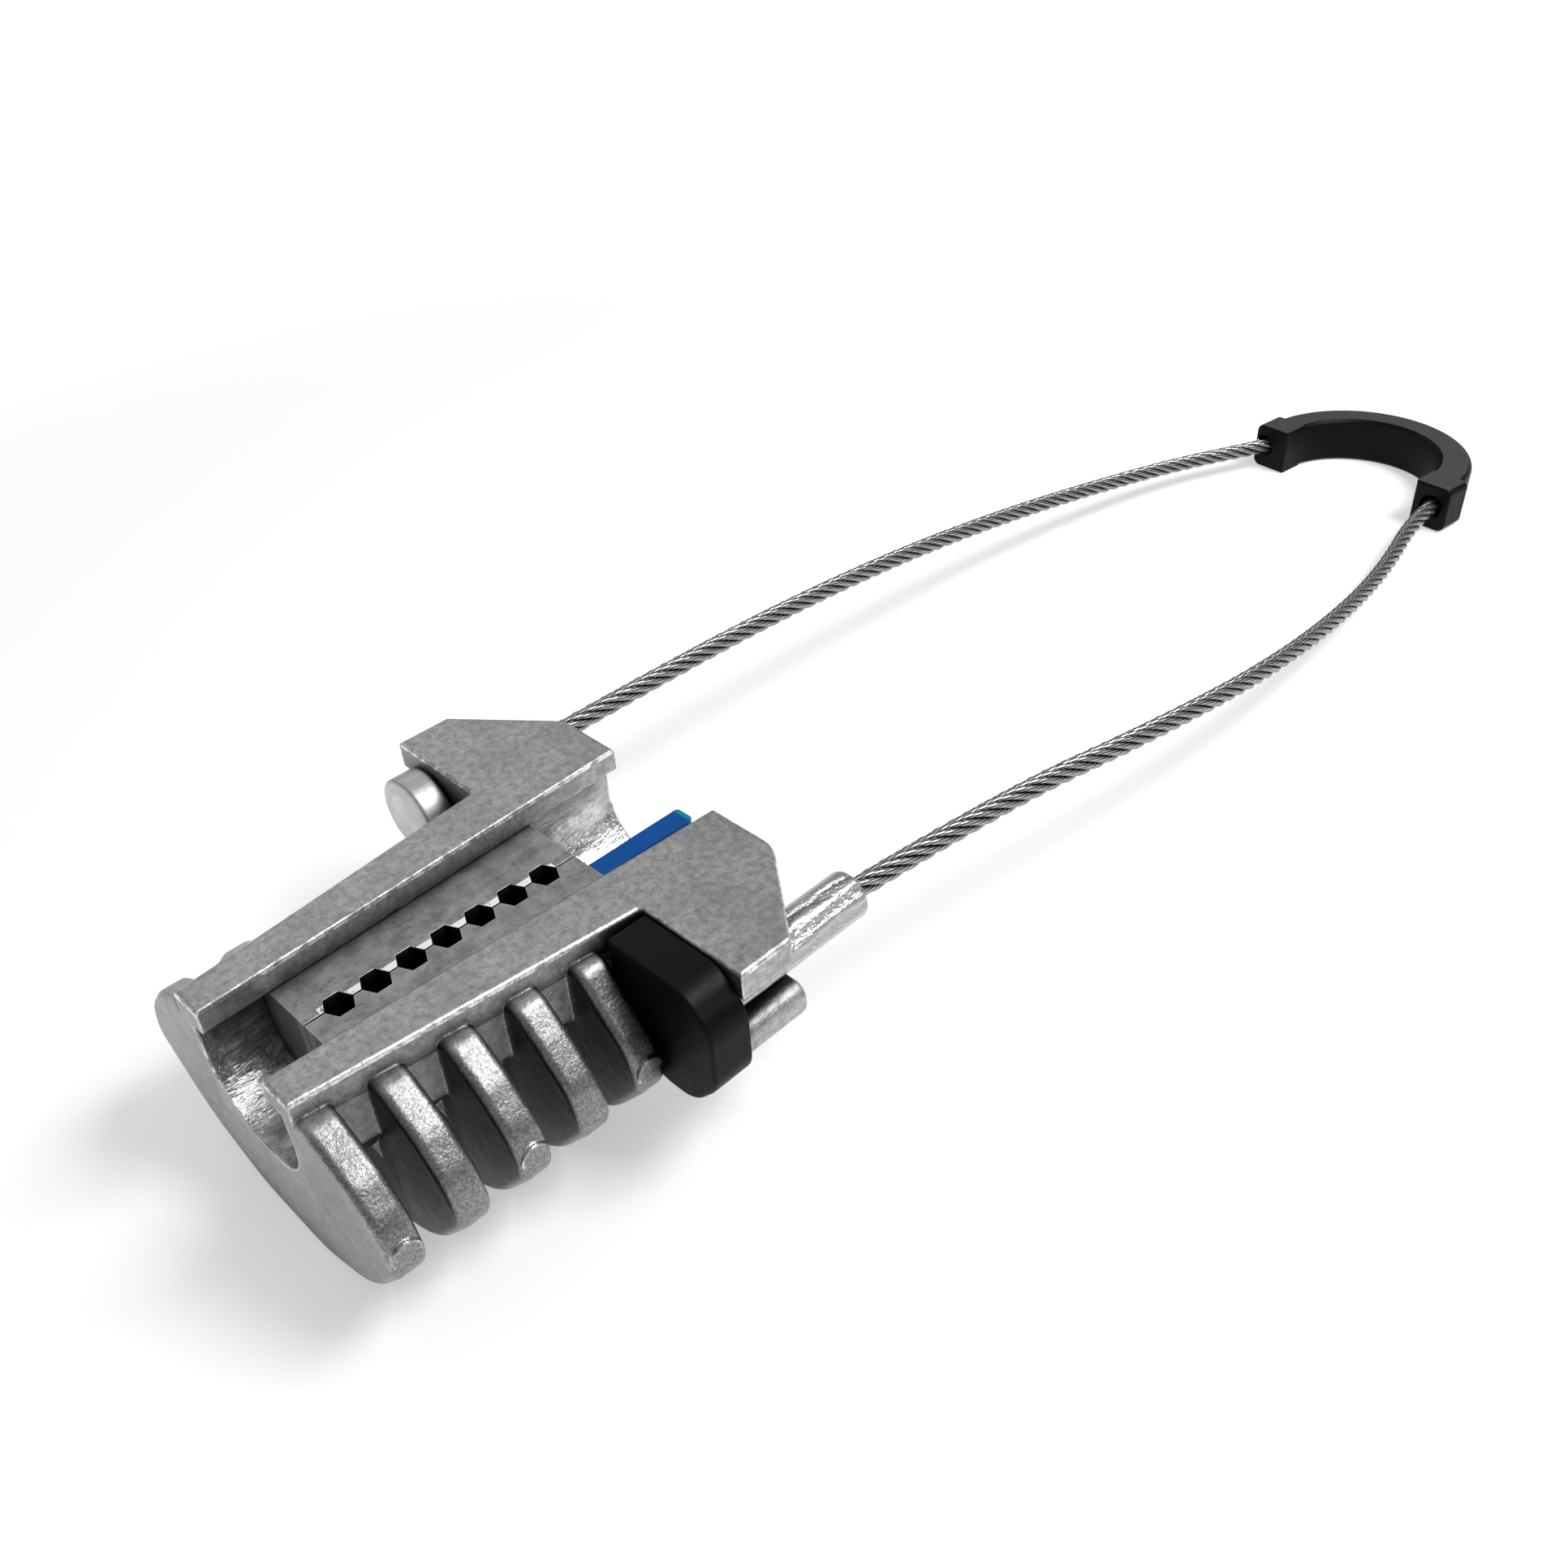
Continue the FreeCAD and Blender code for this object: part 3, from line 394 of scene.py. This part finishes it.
def jaw_alloy(tip_glints):
    """Darker matte alloy whose tooth flanks are bright from the tool, with painted shade near black
    deep in the teeth and a painted glint on the tooth tips of one jaw.
    """
    shader = Shader("jaw_alloy_tip_glints" if tip_glints else "jaw_alloy")
    x, y, _ = shader.axes()
    off_middle = shader.size_of(y)
    up = shader.size_of(shader.facing()[2])
    side = shader.falling(up, 0.3, 0.6)
    bright = shader.times(shader.falling(off_middle, *FLANK_HALF), side)

    body = shader.mix(shader.patches(0.35, 0.64, 210, 7, 0.72), grey(0.24), grey(0.40))
    grain = shader.patches(0.54, 0.70, 800, 5, 0.7, stretch=(0.5, 1, 1))
    body = shader.tint(body, grain, 0.55, grey(0.10))
    body = shader.tint(body, shader.edges(0.45 * MM, 0.03, 0.14), 0.85, grey(0.86))
    colour = shader.mix(bright, body, grey(0.86))
    # Painted shade: near black deep between the teeth, less on their side faces
    teeth_free_of_painted_shade = shader.times(shader.recess(7 * MM, 0.45, 0.80), shader.between(side, 1.0, 0.35))
    colour = shader.mix(teeth_free_of_painted_shade, grey(0.004), colour)
    metal = 0.80
    if tip_glints:
        # Painted glint: the tooth tips near white
        tip_glint = shader.falling(off_middle, *TIP_GLINT_HALF)
        ragged = shader.patches(0.33, 0.42, 700, 3, 0.6)
        toothed = shader.times(shader.more(x, TEETH_START_X), shader.less(x, TEETH_END_X))
        tip_glint = shader.times(tip_glint, ragged, toothed, shader.ramp(up, 0.6, 0.9))
        colour = shader.mix(tip_glint, colour, grey(0.90))
        metal = shader.between(tip_glint, 0.80, 0.10)

    rough = shader.between(shader.noise(300, 3), 0.42, 0.60)
    rough = shader.minus(rough, shader.times(bright, 0.18))
    normal = shader.bump(shader.noise(700, 5, 0.7), 0.40, 0.22 * MM, soft_edge=0.3 * MM)
    return shader.finish(colour, rough, normal, metallic=metal)


def blue_plastic():
    """Saturated blue moulding with a thin teal line across its far end."""
    shader = Shader("blue_plastic")
    far_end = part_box("jaw_guide_strip")[1].x
    line = shader.ramp(shader.axes()[0], far_end - 1.3 * MM, far_end - 0.9 * MM)
    colour = shader.mix(shader.noise(220, 3), *STRIP_BODY)
    colour = shader.tint(colour, shader.edges(0.3 * MM, 0.03, 0.2), 0.5, STRIP_WORN)
    colour = shader.mix(line, colour, STRIP_LINE)
    rough = shader.between(shader.noise(500, 2), 0.45, 0.60)
    normal = shader.bump(shader.noise(1500, 2), 0.15, 0.06 * MM, soft_edge=0.3 * MM)
    return shader.finish(colour, rough, normal, specular=0.15)


def swaged_steel(side):
    """Pressed steel: long facets on the sleeve, turned rings on the face of the head."""
    shader = Shader("swaged_steel_left" if side > 0 else "swaged_steel_right")
    centred = shader.stretched((1, 1, 1), (0, -side * FERRULE_Y, -FERRULE_Z))
    _, y, z = shader.axes(centred)
    waver = shader.minus(shader.noise(230, 4, 0.7, stretch=(0.5, 1, 1)), 0.5)
    around = shader.math("ADD", shader.math("ARCTAN2", z, y), shader.times(waver, 0.9))
    span = shader.math("ADD", shader.times(y, y), shader.times(z, z))
    span = shader.math("SQRT", span)
    on_sleeve = shader.less(span, SLEEVE_RADIUS)
    end_face = shader.ramp(shader.size_of(shader.facing()[0]), 0.7, 0.95)
    facet = shader.size_of(shader.math("SINE", shader.times(around, FACET_WAVE)))
    facet = shader.times(facet, on_sleeve, shader.inverse(end_face))
    rings = shader.times(shader.math("SINE", shader.times(span, RING_WAVE)), 0.12, end_face)
    form = shader.bump(shader.math("ADD", facet, rings), 0.9, 0.75 * MM, soft_edge=0.6 * MM)
    grain = shader.bump(shader.noise(1500, 3, 0.7), 0.22, 0.10 * MM, under=form)

    streaks = shader.noise(260, 4, 0.7, stretch=(0.25, 4, 4))
    colour = shader.mix(streaks, grey(0.36, 0.01), grey(0.74, 0.01))
    colour = shader.tint(colour, shader.patches(0.58, 0.70, 900, 3, 0.6), 0.5, grey(0.26))
    colour = shader.tint(colour, shader.edges(0.6 * MM, 0.02, 0.15), 0.7, grey(0.88))
    colour = shader.tint(colour, end_face, 0.6, grey(0.90))
    rough = shader.between(shader.noise(420, 4, 0.6), 0.24, 0.50)
    rough = shader.math("ADD", rough, shader.times(shader.inverse(on_sleeve), 0.12))
    return shader.finish(colour, rough, grain, metallic=0.95)


def black_plastic(name, top_sheen_level):
    """Moulded black, with a painted sheen, a little greyer, where it faces the light from above."""
    shader = Shader(name)
    # Painted sheen: greyer on faces that look up
    up = shader.ramp(shader.facing()[2], 0.75, 0.97)
    colour = shader.mix(shader.noise(120, 4, 0.6), grey(0.001), grey(0.003))
    colour = shader.mix(up, colour, grey(top_sheen_level))
    colour = shader.tint(colour, shader.edges(0.5 * MM, 0.03, 0.2), 0.4, grey(0.020))
    rough = shader.between(shader.noise(350, 3), 0.36, 0.55)
    normal = shader.bump(shader.noise(900, 4, 0.65), 0.30, 0.12 * MM, soft_edge=0.5 * MM)
    return shader.finish(colour, rough, normal, specular=0.12)


def wire_rope():
    """Bright steel wires, with painted shade in the grooves between them and down between the
    strands.
    """
    shader = Shader("wire_rope")
    strand_shade = shader.node("ShaderNodeAttribute", attribute_name="strand_shade").outputs["Fac"]
    wire = shader.node("ShaderNodeAttribute", attribute_name="wire").outputs["Fac"]
    # Painted shade: dark down between the strands and in the grooves between wires
    colour = shader.mix(shader.ramp(strand_shade, 0.25, 1.0), grey(0.02), grey(0.74, 0.02))
    colour = shader.mix(wire, grey(0.01), colour)
    colour = shader.tint(colour, shader.patches(0.46, 0.66, 700, 3, 0.6), 0.40, grey(0.14))
    return shader.finish(colour, shader.between(shader.noise(900, 2), 0.28, 0.42), metallic=0.9)


# Rope: its route from ferrule to ferrule, in millimetres
SADDLE_CENTRE = (358.5, -7)
SADDLE_TURN = math.radians(-7.2)
SADDLE_MID = 7.65
SADDLE_LEAD = 32
ROUTE_STEPS = 48
BAIL_CORNERS = 5
BAIL_RADIUS = 31
BAIL_ENTER = -18
BAIL_LEAVE = -172
ROPE_START = (35.3, 46, 37.6)
ROPE_END = (56.7, -46, 37.6)
LEFT_LEG = [
    (80, 46.9, 37.1), (134, 50, 33.3), (188, 53, 26.6),
    (242, 54, 18.2), (290, 50, 11.5), (325, 42.5, 8.3),
]
RIGHT_LEG = [
    (300, -47, 9.3), (258, -53.8, 14.5), (206, -57.8, 22.5),
    (152, -56.2, 31), (104, -50, 36.3),
]


def saddle_point(x, y):
    """A point of the saddle's own frame, in the object's frame."""
    return (
        SADDLE_CENTRE[0] + x * math.cos(SADDLE_TURN) - y * math.sin(SADDLE_TURN),
        SADDLE_CENTRE[1] + x * math.sin(SADDLE_TURN) + y * math.cos(SADDLE_TURN),
        SADDLE_MID,
    )


def saddle_route():
    step = (BAIL_LEAVE - BAIL_ENTER) / BAIL_CORNERS
    reach = BAIL_RADIUS / math.cos(math.radians(step / 2))
    corners = []
    for index in range(BAIL_CORNERS):
        angle = math.radians(90 + BAIL_ENTER + (index + 0.5) * step)
        corners.append((reach * math.cos(angle), reach * math.sin(angle)))

    def lead(corner, degrees):
        """A point straight on from a corner, outside the saddle."""
        turn = math.radians(degrees)
        x, y = corner
        return (x - SADDLE_LEAD * math.cos(turn), y - SADDLE_LEAD * math.sin(turn))

    before = lead(corners[0], BAIL_ENTER)
    behind = lead(corners[-1], BAIL_LEAVE + 180)
    return [saddle_point(*point) for point in [before, *corners, behind]]


def rope_centreline():
    """Points along the smooth route, with no bevel."""
    route = [ROPE_START, *LEFT_LEG, *saddle_route(), *RIGHT_LEG, ROPE_END]
    data = bpy.data.curves.new("rope_route", "CURVE")
    data.dimensions = "3D"
    data.resolution_u = ROUTE_STEPS
    spline = data.splines.new("NURBS")
    spline.points.add(len(route) - 1)
    for point, place in zip(spline.points, route):
        point.co = (*(value * MM for value in place), 1)
    spline.order_u = 3
    spline.use_endpoint_u = True
    holder = link("rope_route", data)
    bpy.context.view_layer.update()
    mesh = bpy.data.meshes.new_from_object(holder)
    points = [vertex.co.copy() for vertex in mesh.vertices]
    bpy.data.meshes.remove(mesh)
    bpy.data.objects.remove(holder)
    return points


def evenly(points, spacing):
    """The same line with points about a spacing apart, and its length."""
    lengths = [0.0]
    for before, after in zip(points, points[1:]):
        lengths.append(lengths[-1] + (after - before).length)
    count = round(lengths[-1] / spacing)
    placed, at = [], 0
    for index in range(count + 1):
        wanted = lengths[-1] * index / count
        while at < len(points) - 2 and lengths[at + 1] < wanted:
            at += 1
        share = (wanted - lengths[at]) / (lengths[at + 1] - lengths[at])
        placed.append(points[at].lerp(points[at + 1], share))
    return placed, lengths[-1]


def frames_along(points):
    """Side and up directions along the line that don't twist."""
    side = Vector((0, 0, 1)).cross(points[1] - points[0]).normalized()
    frames = []
    for index, point in enumerate(points):
        ahead = points[min(index + 1, len(points) - 1)] - points[max(index - 1, 0)]
        ahead.normalize()
        side = (side - ahead * side.dot(ahead)).normalized()
        frames.append((point, side, ahead.cross(side)))
    return frames


# The strands: each a tube whose sides alternate between the crest of a wire and a groove
ROPE_DIAMETER = 5 * MM
ROPE_STEP = 1.05 * MM
STRANDS = 6
STRAND_RADIUS = ROPE_DIAMETER / 6
STRAND_SIDES = 14
GROOVE = 0.80
ROPE_LAY = 30 * MM
WIRE_LAY = 11 * MM
CORE_SIDES = 8
CORE_SWELL = 1.1
CORE_STEP = 4


def circle(count):
    """The angles of a number of even steps round a circle."""
    return [2 * math.pi * index / count for index in range(count)]


def openness(bend):
    """1 on the outside of a strand, falling to 0 where it meets the others."""
    return max(0.0, min(1.0, 0.55 + 0.75 * math.cos(bend)))


def tube_faces(ring_count, sides, base):
    """The faces of a closed tube whose rings of points start at base."""
    faces = []
    for ring in range(ring_count - 1):
        low, high = base + ring * sides, base + (ring + 1) * sides
        for index in range(sides):
            after = (index + 1) % sides
            faces.append((low + index, low + after, high + after, high + index))
    last = base + (ring_count - 1) * sides
    faces.append(tuple(base + index for index in reversed(range(sides))))
    faces.append(tuple(last + index for index in range(sides)))
    return faces


def rope_mesh(line, length):
    """Six strands laid round a core, with each point's openness for the painted shade between
    strands and its place on a wire.
    """
    frames = frames_along(line)
    spacing = length / (len(line) - 1)
    verts, faces, strand_shade, wire = [], [], [], []
    for number in range(STRANDS):
        faces += tube_faces(len(frames), STRAND_SIDES, len(verts))
        for step, (point, side, up) in enumerate(frames):
            turn = 2 * math.pi * (number / STRANDS + step * spacing / ROPE_LAY)
            spin = 2 * math.pi * step * spacing / WIRE_LAY
            out = side * math.cos(turn) + up * math.sin(turn)
            across = up * math.cos(turn) - side * math.sin(turn)
            centre = point + out * (ROPE_DIAMETER / 2 - STRAND_RADIUS)
            for index, angle in enumerate(circle(STRAND_SIDES)):
                bend = angle - spin
                crest = index % 2
                reach = STRAND_RADIUS * (1.0 if crest else GROOVE)
                outward, sideways = reach * math.cos(bend), reach * math.sin(bend)
                verts.append(centre + out * outward + across * sideways)
                strand_shade.append(openness(bend))
                wire.append(float(crest))
    core = frames[::CORE_STEP]
    if (len(frames) - 1) % CORE_STEP:
        core.append(frames[-1])
    faces += tube_faces(len(core), CORE_SIDES, len(verts))
    for point, side, up in core:
        for angle in circle(CORE_SIDES):
            spoke = side * math.cos(angle) + up * math.sin(angle)
            verts.append(point + spoke * STRAND_RADIUS * CORE_SWELL)
            strand_shade.append(0.0)
            wire.append(0.0)
    mesh = bpy.data.meshes.new("bail_rope_strands")
    mesh.from_pydata([tuple(v) for v in verts], [], faces)
    for name, values in (("strand_shade", strand_shade), ("wire", wire)):
        mesh.attributes.new(name, "FLOAT", "POINT").data.foreach_set("value", values)
    for polygon in mesh.polygons:
        polygon.use_smooth = True
    return mesh


def make_rope():
    line, length = evenly(rope_centreline(), ROPE_STEP)
    mesh = rope_mesh(line, length)
    mesh.materials.append(wire_rope())
    rope = link("bail_rope_strands", mesh)
    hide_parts("bail_rope")
    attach(rope, "root")


# Finishes on the CAD pieces
def dress_all():
    finishes = {
        "clamp_body": cast_aluminium(),
        "left_jaw": jaw_alloy(True),
        "right_jaw": jaw_alloy(False),
        "jaw_guide_strip": blue_plastic(),
        "left_ferrule": swaged_steel(1),
        "right_ferrule": swaged_steel(-1),
        "ferrule_keeper": black_plastic("keeper_black", 0.004),
        "bail_saddle": black_plastic("saddle_black", 0.065),
    }
    for name, material in finishes.items():
        materials = nodes[name].data.materials
        materials.clear()
        materials.append(material)


# Studio
FLOOR_SIZE = 8.0
FLOOR_GAP = 0.02 * MM
OBJECT_MIDDLE = (0.15, 0.0)
LAMP_TARGET = Vector((0, 0, 0.03))


def make_floor():
    """A white floor that keeps the object's shadow and turns plain white further out."""
    place = (*OBJECT_MIDDLE, cad_low.z - FLOOR_GAP)
    bpy.ops.mesh.primitive_plane_add(size=FLOOR_SIZE, location=place)
    floor = bpy.context.object
    floor.name = "floor"
    shader = Shader("floor")
    links = shader.tree.links
    shader.finish(grey(0.86), 0.9, specular=0.1)
    seen_white = shader.node("ShaderNodeBsdfDiffuse")
    seen_white.inputs["Color"].default_value = grey(0.66)
    distance = shader.node("ShaderNodeVectorMath", operation="LENGTH")
    links.new(shader.place, distance.inputs[0])
    far = shader.ramp(distance.outputs["Value"], 0.35, 1.0)
    glow = shader.node("ShaderNodeEmission")
    links.new(shader.between(far, 0.47, 1.0), glow.inputs["Strength"])
    white = shader.node("ShaderNodeAddShader")
    links.new(seen_white.outputs[0], white.inputs[0])
    links.new(glow.outputs[0], white.inputs[1])
    paths = shader.node("ShaderNodeLightPath").outputs
    seen = shader.most(paths["Is Camera Ray"], paths["Is Glossy Ray"])
    seen = shader.most(seen, paths["Is Transmission Ray"])
    mixed = shader.node("ShaderNodeMixShader")
    links.new(seen, mixed.inputs[0])
    links.new(shader.surface.outputs[0], mixed.inputs[1])
    links.new(white.outputs[0], mixed.inputs[2])
    links.new(mixed.outputs[0], shader.tree.nodes["Material Output"].inputs["Surface"])
    floor.data.materials.append(shader.material)


def make_lamp(name, place, size, power):
    data = bpy.data.lights.new(name, "AREA")
    data.shape = "RECTANGLE"
    data.size, data.size_y = size
    data.energy = power
    lamp = link(name, data)
    lamp.location = place
    lamp.rotation_euler = (LAMP_TARGET - Vector(place)).to_track_quat("-Z", "Y").to_euler()


def make_world():
    """A soft room, lighter overhead, white where it is seen."""
    world = bpy.data.worlds.new("studio")
    bpy.context.scene.world = world
    world.use_nodes = True
    tree = world.node_tree
    tree.nodes.clear()

    def node(kind, **inputs):
        made = tree.nodes.new(kind)
        for name, value in inputs.items():
            made.inputs[name.replace("_", " ")].default_value = value
        return made

    place = node("ShaderNodeTexCoord")
    split = node("ShaderNodeSeparateXYZ")
    rise = node("ShaderNodeMapRange", From_Min=-0.1, From_Max=0.9, To_Min=0.08, To_Max=0.46)
    room = node("ShaderNodeBackground")
    white = node("ShaderNodeBackground", Color=grey(1.0))
    paths = node("ShaderNodeLightPath")
    mixed = node("ShaderNodeMixShader")
    output = node("ShaderNodeOutputWorld")
    tree.links.new(place.outputs["Generated"], split.inputs[0])
    tree.links.new(split.outputs["Z"], rise.inputs["Value"])
    tree.links.new(rise.outputs[0], room.inputs["Strength"])
    tree.links.new(paths.outputs["Is Camera Ray"], mixed.inputs[0])
    tree.links.new(room.outputs[0], mixed.inputs[1])
    tree.links.new(white.outputs[0], mixed.inputs[2])
    tree.links.new(mixed.outputs[0], output.inputs["Surface"])


def make_studio():
    make_floor()
    make_world()
    make_lamp("key", (0.45, -0.50, 0.95), (0.46, 0.36), 9.5)
    make_lamp("back", (0.25, 0.95, 0.75), (0.9, 0.5), 1.4)
    bpy.context.scene.view_settings.view_transform = "Standard"


make_camera()
make_rope()
dress_all()
make_studio()
